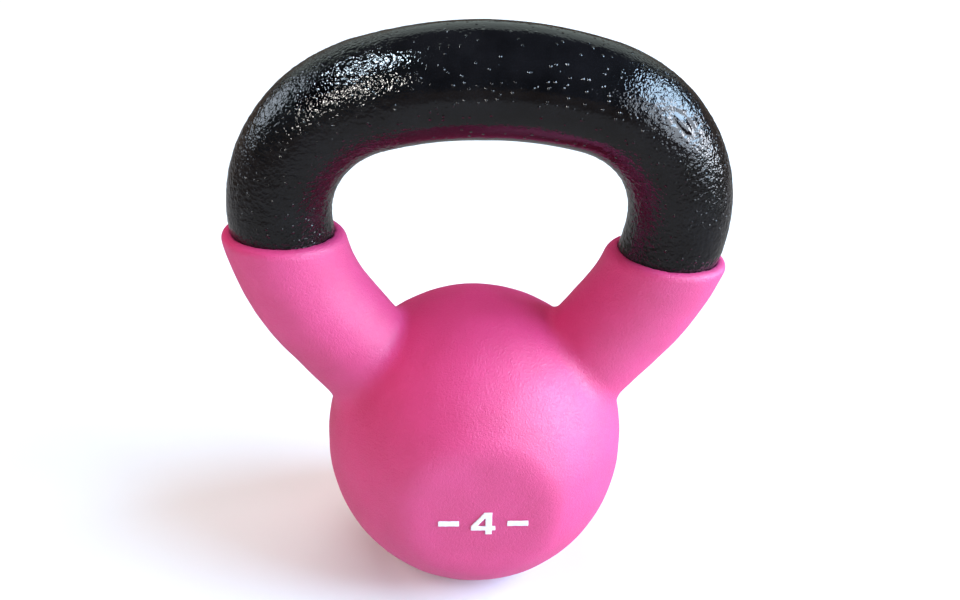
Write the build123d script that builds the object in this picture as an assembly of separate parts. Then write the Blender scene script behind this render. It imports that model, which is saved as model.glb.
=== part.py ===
from build123d import *
import math
import os

# A small cast-iron kettlebell. One grey-iron casting makes the ball, the two horns and the handle.
# Black enamel covers the handle, and a soft vinyl skin, put on by dipping, covers the ball and the
# horns up to a rounded lip. A raised white size mark sits on the flat at the front.
# Units are millimetres. +Z is up, the handle lies in the XZ plane and the mark faces -Y.
# The origin is the centre of the flat that the kettlebell stands on.

# ---- Driving dimensions: ball ----
BALL_R = 46.0  # outer radius of the ball, vinyl included
BALL_BAND = 2.2  # height of the short straight band between the ball's two halves
FLAT_OFFSET = 40.7  # from the ball's centre to each flat: front, back and base
FLAT_EDGE_R = 6.0  # rounding between a flat and the ball
VINYL_T = 2.2  # thickness of the vinyl skin
LIP_SWELL = 0.8  # extra thickness of the vinyl at each lip, where it drained last
SWELL_LENGTH = 16.0  # length of horn over which it fades out
ENAMEL_T = 0.4  # thickness of the enamel coat
HORN_FILLET_R = 4.0  # rounding in the vinyl where a horn leaves the ball

# ---- Driving dimensions: horns and handle ----
HORN_ROOT_Z = 21.0  # start of the handle's centreline, above the ball's centre
HORN_LEAN = 37.5  # outward lean of a horn from the vertical, in degrees
HORN_RUN = 31.2  # straight run of the centreline in the horn
LEG_BEND_R = 58.4  # bend from the horn to the upright leg
LEG_BEND = 32.7  # degrees turned there
SHOULDER_R = 36.6  # bend at the shoulder of the handle
SHOULDER_BEND = 78.3  # degrees turned there
GRIP_ARCH_R = 108.8  # gentle arch of the grip, up to its middle
ROOT_R = 13.7  # enamelled radius at the start of the centreline
GRIP_R = 16.25  # enamelled radius in the middle of the grip
RINGS = 36  # spaces between the circles that the whole handle is lofted through
MIN_RINGS = 8
HORN_RINGS = 20  # the same, for one horn in its vinyl

# ---- Driving dimensions: where the vinyl and the enamel end ----
LEFT_LIP_Z = 71.8  # height of each lip's plane above the ball's centre, on the ball's axis
RIGHT_LIP_Z = 70.7
LEFT_LIP_SLOPE_X = -0.031  # rise of each lip's plane for each millimetre towards +X
RIGHT_LIP_SLOPE_X = -0.075
LIP_SLOPE_Y = -0.105  # rise of both planes for each millimetre towards +Y: higher at the front
LIP_R = 1.0  # rounding of the lip's outer edge
LIP_SPARE = 12.0  # length of horn that is made past the lip and then cut off
ENAMEL_UNDER_LIP = 9.0  # enamel hidden under the vinyl, along the centreline

# ---- Driving dimensions: mark ----
MARK_WIDTH = 26.4  # from the end of one bar to the end of the other
DIGIT_H = 8.2
DIGIT_W = 7.2
STROKE = 1.9  # width of the digit's upright and of the bars
STEM_X = 1.6  # middle of the upright, right of the digit's own middle
CROSSBAR_T = 1.6
CROSSBAR_Y = -1.8  # middle of the crossbar, below the digit's own middle
DIAGONAL_T = 1.5
TIP_OVERHANG = 0.4  # how far the diagonal's top reaches left of the upright
BAR_LENGTH = 6.2
MARK_PROUD = 0.45  # how far the mark stands off the flat
MARK_EDGE_R = 0.15
MARK_DROP = 1.6  # middle of the mark below the ball's centre
MARK_X = 1.1  # middle of the mark right of the ball's centre

CENTRE_Z = FLAT_OFFSET
LEFT, RIGHT = -1, 1
CLOSE = 0.02  # two places nearer than this are the same place


# ---- Centreline of the handle ----
def half_centreline():
    """Runs of one half, from the root to the middle of the grip: (length, bend radius or None)."""
    leg_turn = math.radians(LEG_BEND)
    shoulder_turn = math.radians(SHOULDER_BEND)
    arch_turn = math.radians(HORN_LEAN + 90) - leg_turn - shoulder_turn
    return [
        (HORN_RUN, None),
        (LEG_BEND_R * leg_turn, LEG_BEND_R),
        (SHOULDER_R * shoulder_turn, SHOULDER_R),
        (GRIP_ARCH_R * arch_turn, GRIP_ARCH_R),
    ]


HALF_LENGTH = sum(length for length, bend_r in half_centreline())


def walk(distance):
    """Outward and upward travel from the root, and the lean there, after a distance along one half."""
    out, up, lean = 0.0, 0.0, math.radians(HORN_LEAN)
    for length, bend_r in half_centreline():
        step = min(length, distance)
        if bend_r is None:
            out += step * math.sin(lean)
            up += step * math.cos(lean)
        else:
            new_lean = lean - step / bend_r
            out += bend_r * (math.cos(new_lean) - math.cos(lean))
            up += bend_r * (math.sin(lean) - math.sin(new_lean))
            lean = new_lean
        distance -= step
    return out, up, lean


ROOT_X = -walk(HALF_LENGTH)[0]  # the middle of the grip is on the ball's axis, which places the roots


def station(s):
    """Plane across the handle: s runs from -HALF_LENGTH at the left root to HALF_LENGTH at the right."""
    out, up, lean = walk(HALF_LENGTH - abs(s))
    side = RIGHT if s > 0 else LEFT
    origin = (side * (ROOT_X + out), 0, CENTRE_Z + HORN_ROOT_Z + up)
    return Plane(origin=origin, x_dir=(0, 1, 0), z_dir=(-math.sin(lean), 0, -side * math.cos(lean)))


def enamelled_radius(s):
    return GRIP_R - (GRIP_R - ROOT_R) * abs(s) / HALF_LENGTH


def round_bar(start, end, extra):
    """Round bar along the centreline from start to end; extra is added to the enamelled radius."""
    count = max(MIN_RINGS, round(RINGS * (end - start) / (2 * HALF_LENGTH)))
    rings = []
    for i in range(count + 1):
        s = start + (end - start) * i / count
        rings.append(station(s) * Circle(enamelled_radius(s) + extra))
    return loft(rings)


# ---- Lips of the vinyl ----
def lip_plane(side):
    slope_x = LEFT_LIP_SLOPE_X if side == LEFT else RIGHT_LIP_SLOPE_X
    height = LEFT_LIP_Z if side == LEFT else RIGHT_LIP_Z
    return Plane(origin=(0, 0, CENTRE_Z + height), x_dir=(1, 0, slope_x), z_dir=(-slope_x, -LIP_SLOPE_Y, 1))


def lip_station(side):
    """Where the centreline crosses the lip's plane on one side, found by halving."""
    plane = lip_plane(side)
    low, high = 0.0, HALF_LENGTH
    while high - low > CLOSE:
        middle = (low + high) / 2
        if plane.to_local_coords(station(side * middle).origin).Z > 0:
            low = middle
        else:
            high = middle
    return side * low


# ---- Ball and horns ----
def ball(inset):
    """Ball with flats at the front, the back and the base; every surface is moved in by inset."""
    radius = BALL_R - inset
    flat = FLAT_OFFSET - inset
    edge_r = FLAT_EDGE_R - inset
    flat_r = math.sqrt(radius**2 - flat**2)
    flat_angle = math.degrees(math.asin(flat / radius))
    outline = [
        Line((0, -flat), (flat_r, -flat)),
        CenterArc((0, 0), radius, -flat_angle, flat_angle),
        Line((radius, 0), (radius, BALL_BAND)),
        CenterArc((0, BALL_BAND), radius, 0, 90),
        Line((0, BALL_BAND + radius), (0, -flat)),
    ]
    half = make_face(outline)
    half = fillet(half.vertices().sort_by_distance((flat_r, -flat))[0], edge_r)
    body = revolve(Plane.XZ * half, Axis.Z)
    body &= Box(4 * radius, 2 * flat, 4 * radius)
    flat_edges = []
    for edge in body.edges():
        if edge.bounding_box().size.Y < CLOSE and abs(abs(edge.center().Y) - flat) < CLOSE:
            flat_edges.append(edge)
    return Pos(0, 0, CENTRE_Z) * fillet(flat_edges, edge_r)


def blend_horns(body, inset, blend_r):
    """Round the edges where the horns leave the ball: those on its upper half, above the flats' middle."""
    top_centre = Vector(0, 0, CENTRE_Z + BALL_BAND)
    lowest = CENTRE_Z + BALL_R / 4
    horn_edges = []
    for edge in body.edges():
        points = [edge @ along for along in (0.1, 0.4, 0.7)]
        off_ball = max(abs((point - top_centre).length - BALL_R + inset) for point in points)
        if off_ball < CLOSE and min(point.Z for point in points) > lowest:
            horn_edges.append(edge)
    return fillet(horn_edges, blend_r)


def iron_casting():
    body = ball(VINYL_T) + round_bar(-HALF_LENGTH, HALF_LENGTH, -ENAMEL_T)
    return blend_horns(body, VINYL_T, HORN_FILLET_R + VINYL_T)


def handle_enamel(iron):
    start = lip_station(LEFT) - ENAMEL_UNDER_LIP
    end = lip_station(RIGHT) + ENAMEL_UNDER_LIP
    return round_bar(start, end, 0) - iron


def vinyl_horn(side):
    """One horn in its vinyl, swelling towards the lip's plane, cut there and rounded."""
    lip = lip_station(side)
    rings = []
    for i in range(HORN_RINGS + 1):
        past_lip = LIP_SPARE - (HALF_LENGTH - abs(lip) + LIP_SPARE) * i / HORN_RINGS
        s = side * (abs(lip) - past_lip)
        near_lip = min(1, max(0, 1 + past_lip / SWELL_LENGTH))
        swell = LIP_SWELL * near_lip**2 * (3 - 2 * near_lip)
        rings.append(station(s) * Circle(enamelled_radius(s) + VINYL_T + swell))
    horn = split(loft(rings), lip_plane(side), Keep.BOTTOM)
    return fillet(horn.faces().sort_by(Axis.Z)[-1].edges(), LIP_R)


def vinyl_skin(iron, enamel):
    body = ball(0) + vinyl_horn(LEFT) + vinyl_horn(RIGHT)
    return blend_horns(body, 0, HORN_FILLET_R) - iron - enamel


# ---- Mark ----
def raised(face):
    """Stand a flat face of the mark on the front flat, with its front edges rounded."""
    front = Plane(origin=(MARK_X, -FLAT_OFFSET, CENTRE_Z - MARK_DROP), x_dir=(1, 0, 0), z_dir=(0, -1, 0))
    solid = extrude(front * face, MARK_PROUD)
    return fillet(solid.faces().sort_by(Axis.Y)[0].edges(), MARK_EDGE_R)


def mark_digit():
    """The digit 4: an upright and a crossbar, with a diagonal that closes a small triangle."""
    left, right = -DIGIT_W / 2, DIGIT_W / 2
    bottom, top = -DIGIT_H / 2, DIGIT_H / 2
    stem_left, stem_right = STEM_X - STROKE / 2, STEM_X + STROKE / 2
    bar_bottom, bar_top = CROSSBAR_Y - CROSSBAR_T / 2, CROSSBAR_Y + CROSSBAR_T / 2
    tip = (stem_left - TIP_OVERHANG, top)
    outline = [
        (stem_right, top),
        tip,
        (left, bar_top),
        (left, bar_bottom),
        (stem_left, bar_bottom),
        (stem_left, bottom),
        (stem_right, bottom),
        (stem_right, bar_bottom),
        (right, bar_bottom),
        (right, bar_top),
        (stem_right, bar_top),
    ]
    face = make_face(Polyline(*outline, close=True))
    rise = (top - bar_top) / (tip[0] - left)
    drop = DIAGONAL_T * math.hypot(1, rise)
    eye_top = bar_top + rise * (stem_left - left) - drop
    eye_left = stem_left - (eye_top - bar_top) / rise
    eye = make_face(Polyline((stem_left, eye_top), (stem_left, bar_top), (eye_left, bar_top), close=True))
    return raised(face - eye)


def mark_bar(side):
    middle = side * (MARK_WIDTH - BAR_LENGTH) / 2
    return raised(Pos(middle, 0) * Rectangle(BAR_LENGTH, STROKE))


# ---- Parts ----
os.makedirs("parts", exist_ok=True)
iron = iron_casting()
enamel = handle_enamel(iron)
parts = {
    "iron_casting": iron,
    "handle_enamel": enamel,
    "vinyl_skin": vinyl_skin(iron, enamel),
    "mark_digit": mark_digit(),
    "mark_bar_left": mark_bar(LEFT),
    "mark_bar_right": mark_bar(RIGHT),
}
for name, part in parts.items():
    part.label = name
    export_step(part, f"parts/{name}.step")
    print(f"{name}: {part.volume:.1f} mm3")
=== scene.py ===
# %% [markdown]
# # A dipped kettlebell
# A small kettlebell is one iron casting with three finishes on it. The handle is coated with black
# enamel, the ball and the two horns are dipped in soft pink vinyl, and a white mark is printed on the
# front flat. The lesson takes the engineer's model as a fixed frame and builds each finish around it
# as its own mesh, with real relief where the eye can see it.

# %% Load the frame
import bpy
import bmesh
import math
import numpy as np
from mathutils import Matrix, Vector, noise


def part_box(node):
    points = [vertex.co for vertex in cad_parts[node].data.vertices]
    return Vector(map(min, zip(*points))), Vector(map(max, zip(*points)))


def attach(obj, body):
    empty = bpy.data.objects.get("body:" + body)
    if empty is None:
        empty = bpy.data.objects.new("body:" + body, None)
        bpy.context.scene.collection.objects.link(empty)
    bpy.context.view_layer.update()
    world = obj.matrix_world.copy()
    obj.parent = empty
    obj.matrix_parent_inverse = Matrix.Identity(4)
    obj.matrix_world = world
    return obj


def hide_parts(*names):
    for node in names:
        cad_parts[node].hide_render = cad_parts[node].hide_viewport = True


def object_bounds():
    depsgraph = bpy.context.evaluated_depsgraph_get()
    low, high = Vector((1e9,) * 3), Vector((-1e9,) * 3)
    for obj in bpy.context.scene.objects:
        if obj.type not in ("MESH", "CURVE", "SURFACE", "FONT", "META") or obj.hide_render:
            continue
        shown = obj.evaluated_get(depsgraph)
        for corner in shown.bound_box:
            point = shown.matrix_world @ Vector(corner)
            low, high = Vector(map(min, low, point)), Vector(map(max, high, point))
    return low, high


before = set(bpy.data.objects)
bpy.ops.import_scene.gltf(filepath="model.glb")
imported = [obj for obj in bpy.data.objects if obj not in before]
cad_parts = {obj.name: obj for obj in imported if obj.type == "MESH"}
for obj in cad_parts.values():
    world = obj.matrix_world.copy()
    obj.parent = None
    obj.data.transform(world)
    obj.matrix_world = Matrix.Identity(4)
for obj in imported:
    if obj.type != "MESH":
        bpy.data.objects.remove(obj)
cad_low, cad_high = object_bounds()
MM = 0.001
print("frame box, mm:", [round(v / MM, 1) for v in (*cad_low, *cad_high)])

# %% [markdown]
# ## Where the ball and the handle are
# Everything hangs on two shapes: a ball with three flats, and a round bar bent into a handle. The
# bar's centreline is a straight run and three arcs on each side, so a few lengths and radii describe
# it better than a long list of points would. The ball's place comes from the frame, because its flats
# at the front and at the base are equally far from its centre.

# %% Sizes of the ball and the centreline
skin_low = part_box("vinyl_skin")[0]
FLAT = -skin_low[1]  # from the ball's centre to each flat
BALL_Z = skin_low[2] + FLAT
BALL_R = 46.0 * MM
BAND = 2.2 * MM  # straight band between the two halves of the ball
VINYL = 2.2 * MM  # thickness of the dip
COAT = 0.4 * MM  # thickness of the enamel

LEAN = math.radians(37.5)  # outward lean of a horn
ROOT_UP = 21.0 * MM
ROOT_R = 13.7 * MM
GRIP_R = 16.25 * MM
HORN_RUN = 31.2 * MM
LEG_BEND = (58.4 * MM, math.radians(32.7))
SHOULDER_BEND = (36.6 * MM, math.radians(78.3))
GRIP_BEND = (108.8 * MM, math.radians(16.5))
BENDS = (LEG_BEND, SHOULDER_BEND, GRIP_BEND)
RUNS = [(HORN_RUN, None)] + [(radius * turn, radius) for radius, turn in BENDS]
HALF = sum(length for length, radius in RUNS)
print("half centreline, mm:", round(HALF / MM, 1), " ball centre height, mm:", round(BALL_Z / MM, 1))


# %% [markdown]
# ## Walking along the handle
# One function answers "where am I after this many millimetres?". Giving NumPy a whole array of
# distances at once is far quicker than a Python loop, and the code stays the same.

# %% Points on the centreline
def walk(distance):
    """Outward and upward travel from the root, and the lean there, for an array of distances."""
    out, up = np.zeros_like(distance), np.zeros_like(distance)
    lean = np.full_like(distance, LEAN)
    left = distance.copy()
    for length, radius in RUNS:
        step = np.clip(left, 0, length)
        if radius is None:
            out += step * np.sin(lean)
            up += step * np.cos(lean)
        else:
            turned = lean - step / radius
            out += radius * (np.cos(turned) - np.cos(lean))
            up += radius * (np.sin(lean) - np.sin(turned))
            lean = turned
        left = left - step
    return out, up, lean


ROOT_X = -walk(np.array([HALF]))[0][0]
ROOT_Z = BALL_Z + ROOT_UP
grip_top = ROOT_Z + walk(np.array([HALF]))[1][0] + GRIP_R


def bar_radius(distance):
    """Radius of the enamelled bar, which swells evenly from the root to the grip."""
    return ROOT_R + (GRIP_R - ROOT_R) * distance / HALF


# %% [markdown]
# ## Distance fields
# A distance field is a function that says how far a point is from a surface: negative inside, zero
# on it, positive outside. Joining two shapes is then the smaller of two numbers, and a *smooth*
# minimum rounds the corner between them, just as thick vinyl fills a corner when it drains. That is
# hard to model by hand and very short to write down.

# %% Smooth joins
def smooth_min(a, b, reach):
    """The smaller of a and b, with the corner between them filled over about this reach."""
    mix = np.clip(0.5 + 0.5 * (b - a) / reach, 0, 1)
    return b * (1 - mix) + a * mix - reach * mix * (1 - mix)


def smooth_max(a, b, reach):
    return -smooth_min(-a, -b, reach)


def ease(x):
    """0 to 1 with a soft start and a soft end."""
    x = np.clip(x, 0, 1)
    return x * x * (3 - 2 * x)


print("corner of two walls, before and after:", 0.0, smooth_min(np.zeros(1), np.zeros(1), 1.0)[0])


# %% [markdown]
# ## How far is the handle?
# The distance to the handle's centreline is worked out run by run: for the straight run it is the
# distance to a line, and for each bend it is the distance to an arc. The two sides are mirror images,
# so each point is first folded over to the right-hand side.

# %% Field of the handle
def near_handle(points):
    """Distance from each point to the centreline, and how far along the centreline that is."""
    x, y, z = np.abs(points[:, 0]), points[:, 1], points[:, 2]
    best = np.full(len(points), np.inf)
    along = np.zeros(len(points))
    start_x, start_z, lean, done = ROOT_X, ROOT_Z, LEAN, 0.0
    for length, radius in RUNS:
        if radius is None:
            reach = (x - start_x) * math.sin(lean) + (z - start_z) * math.cos(lean)
            reach = np.clip(reach, 0, length)
            near_x = start_x + reach * math.sin(lean)
            near_z = start_z + reach * math.cos(lean)
            start_x += length * math.sin(lean)
            start_z += length * math.cos(lean)
        else:
            mid_x = start_x - radius * math.cos(lean)
            mid_z = start_z + radius * math.sin(lean)
            turned = lean - np.arctan2(mid_z - z, x - mid_x)
            turned = (turned + math.pi) % (2 * math.pi) - math.pi
            turned = np.clip(turned, 0, length / radius)
            reach = turned * radius
            near_x = mid_x + radius * np.cos(lean - turned)
            near_z = mid_z - radius * np.sin(lean - turned)
            lean -= length / radius
            start_x = mid_x + radius * math.cos(lean)
            start_z = mid_z - radius * math.sin(lean)
        gap = np.sqrt((x - near_x) ** 2 + y**2 + (z - near_z) ** 2)
        along = np.where(gap < best, done + reach, along)
        best = np.minimum(gap, best)
        done += length
    return best, along


trial_gap = near_handle(np.array([[0.0, 0.0, grip_top]]))[0]
print("from the grip's top to its centreline, mm:", round(trial_gap[0] / MM, 2))

# %% [markdown]
# ## Lips of the vinyl
# Each horn was lowered into the tank up to a line, and the vinyl stopped there in a thick round bead.
# The two lines aren't level, because the casting hung a little askew, and they wander by a fraction of
# a millimetre. A plane for each side gives the level, and two slow waves round the horn give the
# wandering.

# %% Field of the lips
LIPS = {-1: (71.8 * MM, -0.031), 1: (70.7 * MM, -0.075)}  # height over the ball's centre, slope along X
LIP_SLOPE_Y = -0.105
LIP_MIDDLE = 57.0 * MM  # where a horn's middle crosses the lip
LIP_WANDER = 0.22 * MM
LIP_SWELL = 0.5 * MM  # extra thickness at the lip, where the vinyl drained last
SWELL_LENGTH = 16.0 * MM


def lip_field(points):
    """Height above the lip's plane on the point's own side."""
    side = np.where(points[:, 0] > 0, 1, -1)
    height = np.where(side > 0, LIPS[1][0], LIPS[-1][0])
    slope = np.where(side > 0, LIPS[1][1], LIPS[-1][1])
    level = BALL_Z + height + slope * points[:, 0] + LIP_SLOPE_Y * points[:, 1]
    return (points[:, 2] - level) / np.sqrt(1 + slope**2 + LIP_SLOPE_Y**2)


def lip_wander(points):
    """How far the bead sags below its plane: never above it, and never the same on the two sides."""
    turn = np.arctan2(points[:, 1], points[:, 0] - np.sign(points[:, 0]) * LIP_MIDDLE)
    wave = 0.6 * np.sin(3 * turn + 1.1) + 0.4 * np.sin(7 * turn + np.sign(points[:, 0]))
    return LIP_WANDER * (1 + wave) / 2


print("most sag of a lip, mm:", LIP_WANDER / MM)

# %% [markdown]
# ## The vinyl's shape
# The skin is what is left when the ball and horns, vinyl included, lose the iron inside them. Its
# edges are never sharp: each lip is a bead, the horns flow into the ball, and the flats have soft
# rims. The fillets are larger at the front and the back of a horn, where more vinyl collects.

# %% Fields of the vinyl
FLAT_RIM = 2.2 * MM  # reach of the soft rim round a flat
LIP_ROUND = 3.0 * MM  # reach of the bead at the lip
CROTCH_FILL = 2.6 * MM  # reach of the fillet between horn and ball, in the plane of the handle
FLANK_FILL = 4.6 * MM  # and on the front and the back
FLANK_Y = 15.0 * MM
TUCK = 0.35 * MM  # the vinyl's inner wall grips this far into the enamel
INNER_EDGE = 0.3 * MM  # rounding where the bead meets the enamel


def ball_field(points, inset):
    """Ball with its band and its three flats, moved in by inset."""
    x, y, z = points[:, 0], points[:, 1], points[:, 2] - BALL_Z
    field = np.sqrt(x**2 + y**2 + (z - np.clip(z, 0, BAND)) ** 2) - (BALL_R - inset)
    field = smooth_max(field, np.abs(y) - (FLAT - inset), FLAT_RIM)
    return smooth_max(field, -z - (FLAT - inset), FLAT_RIM)


def vinyl_outside(points):
    gap, along = near_handle(points)
    above = lip_field(points)
    horn = gap - bar_radius(along) - VINYL - LIP_SWELL * ease(1 + above / SWELL_LENGTH)
    horn = smooth_max(horn, above + lip_wander(points), LIP_ROUND)
    fill = CROTCH_FILL + (FLANK_FILL - CROTCH_FILL) * ease(np.abs(points[:, 1]) / FLANK_Y)
    return smooth_min(ball_field(points, 0), horn, fill)


def vinyl_field(points):
    gap, along = near_handle(points)
    core = np.minimum(ball_field(points, VINYL), gap - bar_radius(along) + TUCK)
    return smooth_max(vinyl_outside(points), -core, INNER_EDGE)


front_of_ball = np.array([[0.0, -FLAT, BALL_Z]])
print("field on the front flat, mm:", round(vinyl_field(front_of_ball)[0] / MM, 4))


# %% [markdown]
# ## From field to mesh
# The engineer's node already has the right rough shape, so it is a good starting skin. Each of its
# vertices slides along the field's slope until the field reads zero. A few such steps put every
# vertex on the true surface, fillets and beads included. Sculpting the same beads by hand would take
# far longer, and wouldn't follow a change of size.

# %% Slide a mesh onto a field
PROBE = 0.05 * MM  # how far the slope of a field is tried to each side
LEAST_STEEP = 0.2  # squared slope below which a step isn't lengthened any more


def vertex_array(mesh):
    flat = np.empty(len(mesh.vertices) * 3)
    mesh.vertices.foreach_get("co", flat)
    return flat.reshape(-1, 3)


def set_vertices(mesh, points):
    mesh.vertices.foreach_set("co", points.ravel())
    mesh.update()


def field_slope(points, field):
    """Direction in which the field grows fastest, by trying a little way to each side."""
    slope = np.empty_like(points)
    for axis in range(3):
        shift = np.zeros(3)
        shift[axis] = PROBE
        slope[:, axis] = (field(points + shift) - field(points - shift)) / (2 * PROBE)
    return slope


def slide_onto(mesh, field, steps, most):
    """Moves each vertex along the field's slope to where the field is zero, at most so far a step."""
    points = vertex_array(mesh)
    for _ in range(steps):
        slope = field_slope(points, field)
        steep = np.maximum((slope**2).sum(axis=1), LEAST_STEEP)
        step = -(field(points) / steep)[:, None] * slope
        size = np.linalg.norm(step, axis=1, keepdims=True)
        points = points + step * np.minimum(1, most / np.maximum(size, 1e-9))
    set_vertices(mesh, points)
    return np.abs(field(points))


front_slope = field_slope(front_of_ball, vinyl_field)[0]
print("slope on the front flat:", [round(v, 3) for v in front_slope.tolist()])

# %% [markdown]
# ## A mesh to start from
# The engineer's node comes with split edges and long thin triangles. Welding closes it, and a voxel
# remesh then wraps it in even quads. The result of a modifier is read back from the evaluated object,
# so nothing has to be selected or made active.

# %% Start from the engineer's node
WELD = 0.001 * MM  # vertices nearer than this become one


def smooth_shaded(obj):
    obj.data.polygons.foreach_set("use_smooth", [True] * len(obj.data.polygons))
    obj.data.update()


def apply_modifiers(obj):
    graph = bpy.context.evaluated_depsgraph_get()
    mesh = bpy.data.meshes.new_from_object(obj.evaluated_get(graph))
    obj.modifiers.clear()
    obj.data = mesh


def start_from(node, name):
    """A copy of a CAD node's surface as a new piece, with its split edges welded."""
    mesh = bpy.data.meshes.new(name)
    bm = bmesh.new()
    bm.from_mesh(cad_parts[node].data)
    bmesh.ops.remove_doubles(bm, verts=bm.verts, dist=WELD)
    bm.to_mesh(mesh)
    bm.free()
    mesh.materials.clear()
    piece = bpy.data.objects.new(name, mesh)
    bpy.context.scene.collection.objects.link(piece)
    return piece


def even_quads(piece, size):
    remesh = piece.modifiers.new("even_quads", "REMESH")
    remesh.mode = "VOXEL"
    remesh.voxel_size = size
    apply_modifiers(piece)
    print(piece.name, "quads:", len(piece.data.polygons))


print("triangles in the engineer's skin:", len(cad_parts["vinyl_skin"].data.polygons))


# %% [markdown]
# ## The dipped skin
# Quads of well under a millimetre keep the beads round. Each step of the slide is kept short, so that
# a vertex near a tight corner can't jump across it.

# %% Skin of vinyl
SKIN_VOXEL = 0.65 * MM
skin = start_from("vinyl_skin", "dipped_skin")
even_quads(skin, SKIN_VOXEL)
left_over = slide_onto(skin.data, vinyl_field, steps=4, most=0.5 * MM)
print("furthest vertex from the field, mm:", round(left_over.max() / MM, 3))

# %% [markdown]
# ## Unevenness of the dip
# A dip is never quite even, so a slow noise pushes the outer surface in, by about a tenth of a
# millimetre at most. It never pushes out, so the skin stays inside its true size. The flats stay
# flat, because the mark sits on one and the floor touches another.

# %% Unevenness of the dip
WAVE_DEPTH = 0.12 * MM
WAVE_SIZE = 7.0 * MM
FLAT_GUARD = 3.0 * MM  # the waves fade out over this distance from a flat
SURFACE_BAND = 0.1 * MM  # a vertex this near the outer field belongs to the outer surface

points = vertex_array(skin.data)
waves = np.array([noise.noise(Vector(p) / WAVE_SIZE) for p in points])
free_of_flats = ease((FLAT - np.abs(points[:, 1])) / FLAT_GUARD) * ease(points[:, 2] / FLAT_GUARD)
outside = vinyl_outside(points) > -SURFACE_BAND
push = WAVE_DEPTH * np.clip(0.5 + waves, 0, 1) * free_of_flats * outside
set_vertices(skin.data, points - push[:, None] * field_slope(points, vinyl_outside))
smooth_shaded(skin)
print("deepest wave, mm:", round(push.max() / MM, 3))
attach(skin, "root")
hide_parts("vinyl_skin")

# %% [markdown]
# ## The enamelled handle
# The bar is a grid of rings swept along the centreline, because rows and columns follow the metal and
# leave room for relief. It is a real coat: an outer wall, an inner wall on the iron, and two ends
# hidden under the vinyl.

# %% Sweep of rings
RING_SPACING = 0.42 * MM
ROUND_COUNT = 240
TUCKED_END = 9.0 * MM  # enamel hidden under each lip
TRIALS = 2000  # points tried along half the centreline when looking for a lip


def lip_distance(side):
    """How far from the root the centreline crosses the lip's plane."""
    trial = np.linspace(0, HALF, TRIALS)
    out, up, _ = walk(trial)
    centres = np.stack([side * (ROOT_X + out), 0 * out, ROOT_Z + up], axis=1)
    return trial[np.argmax(lip_field(centres) > 0)]


left_end = -(HALF - lip_distance(-1)) - TUCKED_END
right_end = (HALF - lip_distance(1)) + TUCKED_END
ring_count = int((right_end - left_end) / RING_SPACING)


def rings(count, inset):
    """Points round the bar from end to end, their outward directions, and their places s and turn."""
    s = np.linspace(left_end, right_end, count)  # 0 in the middle of the grip
    side = np.where(s > 0, 1, -1)
    distance = HALF - np.abs(s)
    out, up, lean = walk(distance)
    centre = np.stack([side * (ROOT_X + out), 0 * out, ROOT_Z + up], axis=1)
    across = np.stack([side * np.cos(lean), 0 * out, -np.sin(lean)], axis=1)
    turn = np.linspace(0, 2 * math.pi, ROUND_COUNT, endpoint=False)  # 0 outwards, a quarter to the front
    outward = np.cos(turn)[None, :, None] * across[:, None, :]
    outward = outward + np.sin(turn)[None, :, None] * np.array([0, -1, 0])
    radius = (bar_radius(distance) - inset)[:, None, None]
    return centre[:, None, :] + radius * outward, outward, s, turn


outer, outward, outer_s, outer_turn = rings(ring_count, 0)
print("rings:", ring_count, "x", ROUND_COUNT)

# %% [markdown]
# ## Sand and thick paint
# The handle was cast in sand and painted straight over. Up close it is a field of small rounded
# humps with narrow valleys between them, and paint has half drowned it. Taking the size of a noise
# value without its sign makes just that: each zero crossing turns into a valley. The humps are real
# relief here, so each one throws its own glint. They are strongest on the shoulders, and the middle
# of the grip is smoother. All of it is cut inwards, which keeps the bar inside its true size.

# %% Relief of the casting
SWAY, HUMP, GRAIN = 12.0 * MM, 2.3 * MM, 1.25 * MM  # sizes of slow sway, humps and sand grain
SWAY_SHARE, HUMP_SHARE, GRAIN_SHARE = 0.3, 0.3, 0.28  # their shares of the relief
RELIEF = 0.3 * MM  # the deepest relief
MEAN_DEPTH = 0.42  # as a share of the deepest relief
HUMP_GAIN = 2.6  # widens the hump tops and narrows the valleys
HUMP_MEAN = 0.55  # about the average height of a hump


def relief(point, rough):
    """Depth below the full size, as a share of the deepest relief."""
    sway = noise.noise(point / SWAY)
    hump = min(1.0, HUMP_GAIN * abs(noise.noise(point / HUMP + Vector((7, 1, 4)))))
    grain = noise.noise(point / GRAIN + Vector((3, 9, 2)))
    fine = HUMP_SHARE * (HUMP_MEAN - hump) - GRAIN_SHARE * grain
    return MEAN_DEPTH - SWAY_SHARE * sway + rough * fine


SMOOTH_FROM, SMOOTH_TO = -15.0 * MM, 30.0 * MM  # the smoother stretch of the grip
FADE = 14.0 * MM  # length over which it turns rough
LEAST_ROUGH = 0.2
past_smooth = np.maximum(SMOOTH_FROM - outer_s, outer_s - SMOOTH_TO)
rough = LEAST_ROUGH + (1 - LEAST_ROUGH) * ease(past_smooth / FADE)
depth = np.array([[relief(Vector(p), r) for p in ring] for ring, r in zip(outer, rough)])
depth = RELIEF * np.clip(depth, 0, 1)
print("relief, mm: mean", round(depth.mean() / MM, 3), "deepest", round(depth.max() / MM, 3))

# %% [markdown]
# ## A run of paint
# Where thick enamel slid down the right shoulder, it left a leaf-shaped fold with a short tail. It is
# drawn on the unrolled surface, with s along the bar and v round it. A groove is then a narrow bell
# curve of the distance to that outline, and it never cuts right through the coat.

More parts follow.
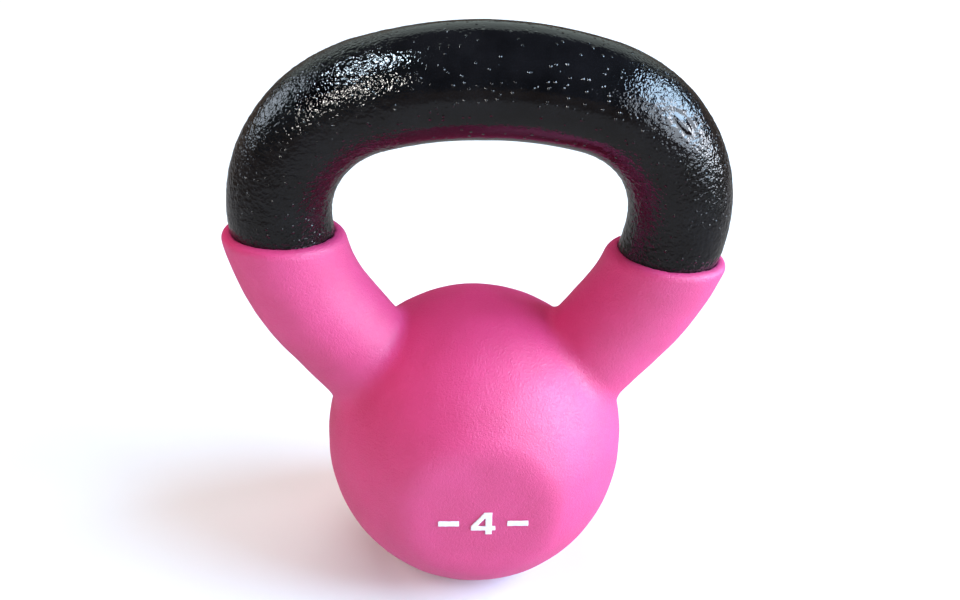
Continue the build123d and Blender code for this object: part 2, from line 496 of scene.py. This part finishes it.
# %% Fold on the right shoulder
FOLD_S, FOLD_V = 49.2 * MM, 14.4 * MM  # middle of the leaf
FOLD_LONG, FOLD_WIDE = 3.7 * MM, 1.6 * MM  # half its length and half its width
TAIL_S, TAIL_V = 43.6 * MM, 15.7 * MM  # far end of the tail
GROOVE_WIDTH, GROOVE_DEPTH = 0.55 * MM, 0.33 * MM
LEAF_RELIEF = 0.35  # paint lies thick and smooth inside the fold
THINNEST = 0.05 * MM  # paint left at the bottom of a groove

s_grid, turn_grid = np.meshgrid(outer_s, outer_turn, indexing="ij")
v_grid = turn_grid * bar_radius(HALF - np.abs(s_grid))
leaf = np.sqrt(((s_grid - FOLD_S) / FOLD_LONG) ** 2 + ((v_grid - FOLD_V) / FOLD_WIDE) ** 2)
fold_spot = Vector(outer[np.unravel_index(np.argmin(leaf), leaf.shape)])
to_leaf = np.abs(leaf - 1) * FOLD_WIDE
tail_length = FOLD_S - FOLD_LONG - TAIL_S
tail_run = np.clip((s_grid - TAIL_S) / tail_length, 0, 1)
tail_s = TAIL_S + tail_run * tail_length
tail_v = TAIL_V + tail_run * (FOLD_V - TAIL_V)
to_tail = np.hypot(s_grid - tail_s, v_grid - tail_v)
groove = np.exp(-((np.minimum(to_leaf, to_tail) / GROOVE_WIDTH) ** 2))
filled = np.where(leaf < 1, LEAF_RELIEF, 1.0)
depth = np.minimum(depth * filled + GROOVE_DEPTH * groove, COAT - THINNEST)
outer = outer - depth[:, :, None] * outward
inner, _, _, _ = rings(ring_count // 4, COAT)  # the hidden wall needs fewer rings
print("fold at, mm:", [round(v / MM, 1) for v in fold_spot])
print("grid points in the groove:", int((groove > 0.5).sum()))


# %% [markdown]
# ## Closing the coat
# The outer rings run from left to right and the inner ones run back, so joining each ring to the next
# and the last to the first gives one closed wall without a seam or a loose edge.

# %% Close the coat
def closed_coat(name, layers):
    """Closed mesh through a list of ring grids, in order, joined end to end into one loop of rings."""
    ring_list = np.concatenate(layers, axis=0)
    rows, columns = ring_list.shape[:2]
    index = np.arange(rows * columns).reshape(rows, columns)
    next_row = np.roll(index, -1, axis=0)
    next_column = np.roll(index, -1, axis=1)
    corner = np.roll(next_row, -1, axis=1)
    faces = np.stack([index, next_row, corner, next_column], axis=-1).reshape(-1, 4)
    mesh = bpy.data.meshes.new(name)
    mesh.from_pydata(ring_list.reshape(-1, 3).tolist(), [], faces.tolist())
    mesh.validate()
    piece = bpy.data.objects.new(name, mesh)
    bpy.context.scene.collection.objects.link(piece)
    return piece


handle = closed_coat("enamelled_handle", [outer, inner[::-1]])
smooth_shaded(handle)
print(handle.name, "quads:", len(handle.data.polygons))
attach(handle, "root")
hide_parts("handle_enamel")


# %% [markdown]
# ## The printed mark
# The mark is thick ink, pressed on through a stencil. It stands a little proud, its corners are soft
# and its edges aren't quite straight. Each CAD stroke is wrapped in fine quads, relaxed, and its
# outline is nudged by a small noise.

# %% Mark
INK_QUAD = 0.12 * MM
INK_WOBBLE = 0.09 * MM  # most that an edge strays
INK_WAVE = 1.1 * MM  # length of a wobble
RELAX_ROUNDS = 5


def ink_piece(node, name):
    low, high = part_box(node)
    piece = start_from(node, name)
    even_quads(piece, INK_QUAD)
    relax = piece.modifiers.new("soft_edge", "SMOOTH")
    relax.factor = 0.5
    relax.iterations = RELAX_ROUNDS
    apply_modifiers(piece)
    spots = vertex_array(piece.data)
    for axis in (0, 2):
        lead = Vector((5 * axis, 1, 3))
        nudge = np.array([noise.noise(Vector(p) / INK_WAVE + lead) for p in spots])
        spots[:, axis] += INK_WOBBLE * nudge
    set_vertices(piece.data, np.clip(spots, low, high))
    smooth_shaded(piece)
    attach(piece, "root")
    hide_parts(node)
    return piece


mark_pieces = [
    ink_piece("mark_digit", "printed_digit"),
    ink_piece("mark_bar_left", "printed_bar_left"),
    ink_piece("mark_bar_right", "printed_bar_right"),
]


# %% [markdown]
# ## Recipes for finishes
# Every finish below uses the same few moves: a noise of a given size, two close tones mixed by it,
# and a bump. They are written once, as small helpers that add nodes to a material. Sizes are given in
# metres, because the noise reads the piece's own coordinates.

# %% Material and noise
def new_material(name):
    material = bpy.data.materials.new(name)
    material.use_nodes = True
    nodes, links = material.node_tree.nodes, material.node_tree.links
    return material, nodes, links, nodes["Principled BSDF"]


def add_noise(nodes, links, size, detail=2.0, rough=0.5, warp=0.0):
    """Noise whose features are about this size, on the object's own coordinates."""
    place = nodes.new("ShaderNodeTexCoord")
    texture = nodes.new("ShaderNodeTexNoise")
    texture.inputs["Scale"].default_value = 1 / size
    texture.inputs["Detail"].default_value = detail
    texture.inputs["Roughness"].default_value = rough
    texture.inputs["Distortion"].default_value = warp
    links.new(place.outputs["Object"], texture.inputs["Vector"])
    return texture.outputs["Fac"]


def remap(nodes, links, source, low, high, new_low, new_high):
    node = nodes.new("ShaderNodeMapRange")
    node.inputs["From Min"].default_value = low
    node.inputs["From Max"].default_value = high
    node.inputs["To Min"].default_value = new_low
    node.inputs["To Max"].default_value = new_high
    links.new(source, node.inputs["Value"])
    return node.outputs["Result"]


print("materials in the file so far:", len(bpy.data.materials))

# %% [markdown]
# ## Two tones and a bump
# One even colour looks like plastic, so each finish drifts between two close tones. A noise seldom
# leaves the middle of its range, so the drift uses only that part. A bump tilts the light on a
# surface without moving it, which is right for anything finer than the mesh.

# %% Tones, bumps and painting
NOISE_LOW, NOISE_HIGH = 0.3, 0.7


def two_tone(nodes, links, source, dark, light):
    ramp = nodes.new("ShaderNodeValToRGB")
    ramp.color_ramp.elements[0].position = NOISE_LOW
    ramp.color_ramp.elements[1].position = NOISE_HIGH
    ramp.color_ramp.elements[0].color = (*dark, 1)
    ramp.color_ramp.elements[1].color = (*light, 1)
    links.new(source, ramp.inputs["Fac"])
    return ramp.outputs["Color"]


def add_bump(nodes, links, height, distance, under=None):
    node = nodes.new("ShaderNodeBump")
    node.inputs["Distance"].default_value = distance
    links.new(height, node.inputs["Height"])
    if under is not None:
        links.new(under, node.inputs["Normal"])
    return node.outputs["Normal"]


def paint(obj, material):
    obj.data.materials.clear()
    obj.data.materials.append(material)
    print(obj.name, "is painted with", material.name)


print("part of a noise's range in use:", NOISE_LOW, "to", NOISE_HIGH)


# %% [markdown]
# ## Pink vinyl
# Dipped vinyl is soft, thick and satin. Its skin dries in wrinkles finer than a millimetre, like
# fine leather, and they break the highlight up into a dull shine. A warped noise gives the wrinkles,
# and the same noise makes their tops a little glossier than their valleys.

# %% Pink vinyl
CLOUD = 14.0 * MM  # size of the slow change between the two pinks
WRINKLE = 0.62 * MM
WRINKLE_DEPTH = 0.25 * MM
VALLEY_ROUGH, TOP_ROUGH = 0.62, 0.5
DEEP_PINK, LIGHT_PINK = (0.63, 0.038, 0.184), (0.69, 0.044, 0.215)


def make_vinyl():
    material, nodes, links, shader = new_material("pink_vinyl")
    cloudy = add_noise(nodes, links, CLOUD, detail=3)
    wrinkles = add_noise(nodes, links, WRINKLE, detail=2, rough=0.55, warp=1.0)
    links.new(two_tone(nodes, links, cloudy, DEEP_PINK, LIGHT_PINK), shader.inputs["Base Color"])
    sheen = remap(nodes, links, wrinkles, NOISE_LOW, NOISE_HIGH, VALLEY_ROUGH, TOP_ROUGH)
    links.new(sheen, shader.inputs["Roughness"])
    links.new(add_bump(nodes, links, wrinkles, WRINKLE_DEPTH), shader.inputs["Normal"])
    shader.inputs["Specular IOR Level"].default_value = 1.0
    return material


paint(skin, make_vinyl())


# %% [markdown]
# ## Black enamel
# The enamel is nearly black and quite glossy, so almost all that is seen of it is what it mirrors:
# dark room, bright windows and pink ball. Grain finer than the mesh comes from a bump, weaker along
# the smooth middle of the grip and where the paint lies thick round the fold. A second bump scatters
# a few grains of grit in the paint, each of which catches a window as a tiny bright dot. First comes
# the map of where the grain is strong.

# %% Grain of the enamel
SMOOTH_SHARE, FOLD_SHARE = 0.25, 0.3  # strength of the grain on the smooth stretch and in the fold
CALM_FROM, CALM_TO = 3.0 * MM, 7.5 * MM  # distances from the fold over which the grain comes back
SPECKLE, SPECKLE_DEPTH = 0.8 * MM, 0.24 * MM


def combine(nodes, links, operation, first, second):
    node = nodes.new("ShaderNodeMath")
    node.operation = operation
    links.new(first, node.inputs[0])
    links.new(second, node.inputs[1])
    return node.outputs["Value"]


def grain_strength(nodes, links):
    """Strength of the grain at each place, from 0 to 1."""
    place = nodes.new("ShaderNodeTexCoord")
    parts = nodes.new("ShaderNodeSeparateXYZ")
    links.new(place.outputs["Object"], parts.inputs["Vector"])
    x = parts.outputs["X"]
    left = remap(nodes, links, x, SMOOTH_FROM, SMOOTH_FROM - FADE, SMOOTH_SHARE, 1.0)
    right = remap(nodes, links, x, SMOOTH_TO, SMOOTH_TO + FADE, SMOOTH_SHARE, 1.0)
    rougher = combine(nodes, links, "MAXIMUM", left, right)
    to_fold = nodes.new("ShaderNodeVectorMath")
    to_fold.operation = "DISTANCE"
    to_fold.inputs[1].default_value = fold_spot
    links.new(place.outputs["Object"], to_fold.inputs[0])
    calm = remap(nodes, links, to_fold.outputs["Value"], CALM_FROM, CALM_TO, FOLD_SHARE, 1.0)
    return combine(nodes, links, "MULTIPLY", rougher, calm)


full_grain = [round(x / MM, 1) for x in (SMOOTH_FROM - FADE, SMOOTH_TO + FADE)]
print("the grain has its full strength beyond x, mm:", full_grain)

# %% [markdown]
# ## Gloss and grit
# The gloss itself changes slowly, as if some places had been brushed twice. Grit comes from scattered
# cells: only the very middle of each cell rises, so its dot is far smaller than its cell.

# %% Black enamel
GLOSS_CLOUD = 9.0 * MM  # size of the slow change between the two blacks
GRIT_CELL, GRIT_HEIGHT = 2.1 * MM, 0.25 * MM
GRIT_SHARE = 0.22  # radius of a grain of grit, as a share of its cell
GLOSSIEST, LEAST_GLOSSY = 0.05, 0.12  # roughness of the best gloss and of the poorest
DEEP_BLACK, GREY_BLACK = (0.0015, 0.0015, 0.002), (0.004, 0.004, 0.005)


def add_cells(nodes, links, size):
    """Distance to the nearest of many scattered points, in cells of this size."""
    place = nodes.new("ShaderNodeTexCoord")
    texture = nodes.new("ShaderNodeTexVoronoi")
    texture.inputs["Scale"].default_value = 1 / size
    links.new(place.outputs["Object"], texture.inputs["Vector"])
    return texture.outputs["Distance"]


def make_enamel():
    material, nodes, links, shader = new_material("black_enamel")
    cloudy = add_noise(nodes, links, GLOSS_CLOUD, detail=3)
    links.new(two_tone(nodes, links, cloudy, DEEP_BLACK, GREY_BLACK), shader.inputs["Base Color"])
    gloss = remap(nodes, links, cloudy, NOISE_LOW, NOISE_HIGH, GLOSSIEST, LEAST_GLOSSY)
    links.new(gloss, shader.inputs["Roughness"])
    speckle = add_noise(nodes, links, SPECKLE, detail=1.0, rough=0.5, warp=0.3)
    grain = combine(nodes, links, "MULTIPLY", grain_strength(nodes, links), speckle)
    grain_bump = add_bump(nodes, links, grain, SPECKLE_DEPTH)
    grit = remap(nodes, links, add_cells(nodes, links, GRIT_CELL), 0.0, GRIT_SHARE, 1.0, 0.0)
    links.new(add_bump(nodes, links, grit, GRIT_HEIGHT, grain_bump), shader.inputs["Normal"])
    return material


paint(handle, make_enamel())


# %% [markdown]
# ## White ink
# The ink is matte and chalky, with a cool cast. Its speckle is half a millimetre, and a shallow bump
# makes it look dabbed on.

# %% White ink
INK_SPECKLE, INK_DIMPLE = 0.5 * MM, 0.05 * MM
DULL_WHITE, CLEAN_WHITE = (0.74, 0.72, 0.78), (0.86, 0.86, 0.9)


def make_ink():
    material, nodes, links, shader = new_material("white_ink")
    speckle = add_noise(nodes, links, INK_SPECKLE, detail=3)
    links.new(two_tone(nodes, links, speckle, DULL_WHITE, CLEAN_WHITE), shader.inputs["Base Color"])
    links.new(add_bump(nodes, links, speckle, INK_DIMPLE), shader.inputs["Normal"])
    shader.inputs["Roughness"].default_value = 0.55
    return material


ink = make_ink()
for piece in mark_pieces:
    paint(piece, ink)


# %% [markdown]
# ## Grey iron
# The casting is hidden under its two coats, but it is carried over from the frame and gets a proper
# finish too: rough grey iron with a sandy grain.

# %% Grey iron
SAND, SAND_DEPTH = 1.2 * MM, 0.15 * MM
DARK_IRON, PALE_IRON = (0.05, 0.05, 0.052), (0.11, 0.11, 0.115)


def make_iron():
    material, nodes, links, shader = new_material("grey_iron")
    sand = add_noise(nodes, links, SAND, detail=4, rough=0.6)
    links.new(two_tone(nodes, links, sand, DARK_IRON, PALE_IRON), shader.inputs["Base Color"])
    links.new(add_bump(nodes, links, sand, SAND_DEPTH), shader.inputs["Normal"])
    shader.inputs["Metallic"].default_value = 1.0
    shader.inputs["Roughness"].default_value = 0.6
    return material


iron = make_iron()
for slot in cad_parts["iron_casting"].material_slots:
    slot.material = iron
print("iron slots:", len(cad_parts["iron_casting"].material_slots))


# %% [markdown]
# ## Floor
# A pale floor, far wider than the view, stands in for a paper sweep. Its faint blue evens out the
# warm light that fills the shadow. It is left out of mirror reflections: a black glossy handle over
# bright paper would look grey, and in a real studio black flags round the object do the same job.

# %% Floor
MOTTLE = 60.0 * MM
PAPER, PALE_PAPER = (0.79, 0.89, 0.92), (0.81, 0.91, 0.94)


def make_floor():
    material, nodes, links, shader = new_material("pale_paper")
    mottle = add_noise(nodes, links, MOTTLE, detail=3)
    links.new(two_tone(nodes, links, mottle, PAPER, PALE_PAPER), shader.inputs["Base Color"])
    shader.inputs["Roughness"].default_value = 0.9
    return material


FLOOR_REACH = 6.0  # metres from the middle to each edge
floor_mesh = bpy.data.meshes.new("floor")
corners = [(x * FLOOR_REACH, y * FLOOR_REACH, 0) for x, y in ((-1, -1), (1, -1), (1, 1), (-1, 1))]
floor_mesh.from_pydata(corners, [], [(0, 1, 2, 3)])
floor = bpy.data.objects.new("floor", floor_mesh)
floor.visible_glossy = False
bpy.context.scene.collection.objects.link(floor)
paint(floor, make_floor())


# %% [markdown]
# ## Lights
# The key light is a wide, cool window on the right, low enough to leave the left edges of the ball in
# shade. A lower window beside it lifts the ball's right edge, and a weak one nearer the front makes
# the change from light to shade gentle. On the enamel each of them is a patch of glints, so their
# directions matter more than their power.

# %% Lights
LIGHT_DISTANCE = 2.4


def area_light(name, azimuth, elevation, width, height, power, color):
    """Soft light aimed at the middle of the object; azimuth 0 is in front, 90 to the right."""
    a, e = math.radians(azimuth), math.radians(elevation)
    aim = Vector((cad_low[i] + cad_high[i]) / 2 for i in range(3))
    toward = Vector((math.sin(a) * math.cos(e), -math.cos(a) * math.cos(e), math.sin(e)))
    data = bpy.data.lights.new(name, "AREA")
    data.shape = "RECTANGLE"
    data.size, data.size_y = width, height
    data.energy = power
    data.color = color
    light = bpy.data.objects.new(name, data)
    light.location = aim + toward * LIGHT_DISTANCE
    light.rotation_euler = toward.to_track_quat("Z", "Y").to_euler()
    bpy.context.scene.collection.objects.link(light)
    print(f"{name}: {power} W, brightness {power / (math.pi * width * height):.1f}")
    return light


area_light("window_right", 82, 32, 2.0, 0.9, 110, (0.54, 0.76, 1.0))
area_light("window_right_low", 84, 9, 0.8, 0.6, 32, (0.85, 0.90, 1.0))
area_light("front_right", 56, 13, 2.0, 1.0, 40, (0.78, 0.88, 1.0))

# %% [markdown]
# ## Fills and glints
# Two warm fills, one on the left and one overhead, open up the shadows. They are switched off for
# mirror reflections, because a soft fill in a black gloss only looks like dust. The glints work the
# other way round: lamps on the left and behind that are linked to the handle alone, which is what a
# snoot on a lamp does in a real studio.

# %% Fills and glints
warm_left = area_light("warm_left", -68, 38, 1.8, 1.6, 38, (1.0, 0.77, 0.69))
warm_above = area_light("warm_above", 195, 70, 1.8, 1.6, 38, (1.0, 0.84, 0.80))
for fill in (warm_left, warm_above):
    fill.visible_glossy = False

glints = [
    area_light("glint_left", -30, 30, 0.4, 0.35, 26, (1.0, 0.97, 0.92)),
    area_light("glint_left_high", -66, 62, 0.5, 0.4, 46, (0.7, 0.86, 1.0)),
    area_light("glint_left_far", -108, 22, 1.3, 1.0, 20, (0.78, 0.88, 1.0)),
    area_light("glint_behind", 180, 30, 4.0, 1.6, 14, (0.86, 1.0, 0.94)),
]
glint_receivers = bpy.data.collections.new("glint_receivers")
glint_receivers.objects.link(handle)
for glint in glints:
    glint.light_linking.receiver_collection = glint_receivers
print("lamps for the handle alone:", len(glints))

# %% [markdown]
# ## Room
# The rest of the room is dim overhead, warm brown round the horizon, as wooden walls would be, and
# light grey underneath, where the paper would be. The world's own direction, not the camera's, decides
# which tone a ray meets.

# %% Room
world = bpy.data.worlds.new("studio")
world.use_nodes = True
nodes, links = world.node_tree.nodes, world.node_tree.links
direction = nodes.new("ShaderNodeTexCoord")
parts = nodes.new("ShaderNodeSeparateXYZ")
links.new(direction.outputs["Generated"], parts.inputs["Vector"])
ramp = nodes.new("ShaderNodeValToRGB")
tones = ramp.color_ramp.elements  # 0 is straight down, 0.5 the horizon and 1 straight up
tones[0].position, tones[0].color = 0.33, (0.40, 0.40, 0.41, 1)
tones[1].position, tones[1].color = 0.57, (0.035, 0.04, 0.045, 1)
for level, color in ((0.39, (0.14, 0.11, 0.09, 1)), (0.50, (0.20, 0.15, 0.11, 1))):
    tones.new(level).color = color
height = remap(nodes, links, parts.outputs["Z"], -1.0, 1.0, 0.0, 1.0)
links.new(height, ramp.inputs["Fac"])
links.new(ramp.outputs["Color"], nodes["Background"].inputs["Color"])
bpy.context.scene.world = world
print("room tones:", [round(tone.color[0], 2) for tone in tones])

# %% [markdown]
# ## Camera
# The camera stands close, a little to the left, and looks down by about thirty degrees, with a slight
# roll. The standard view transform keeps the vinyl's pink as bright as its numbers say.

# %% Camera
CAMERA_TURN = math.radians(-3.4)
CAMERA_HEIGHT = math.radians(31.5)
CAMERA_ROLL = math.radians(1.84)
CAMERA_REACH = 362.7 * MM
FOCAL_LENGTH, SENSOR = 45.6, 36.0  # of the lens, in millimetres
AIM = Vector((0.5, 0.0, 90.5)) * MM

back = Vector((
    math.sin(CAMERA_TURN) * math.cos(CAMERA_HEIGHT),
    -math.cos(CAMERA_TURN) * math.cos(CAMERA_HEIGHT),
    math.sin(CAMERA_HEIGHT),
))
level = Vector((math.cos(CAMERA_TURN), math.sin(CAMERA_TURN), 0))
upright = back.cross(level)
right = math.cos(CAMERA_ROLL) * level + math.sin(CAMERA_ROLL) * upright
top = back.cross(right)
turned = Matrix((right, top, back)).transposed().to_4x4()
lens = bpy.data.cameras.new("camera")
lens.lens = FOCAL_LENGTH
lens.sensor_width = SENSOR
lens.clip_start, lens.clip_end = 0.01, 30.0
camera = bpy.data.objects.new("camera", lens)
camera.matrix_world = Matrix.Translation(AIM + back * CAMERA_REACH) @ turned
bpy.context.scene.collection.objects.link(camera)
bpy.context.scene.camera = camera
bpy.context.scene.view_settings.view_transform = "Standard"
print("camera at, mm:", [round(v / MM) for v in camera.matrix_world.translation])
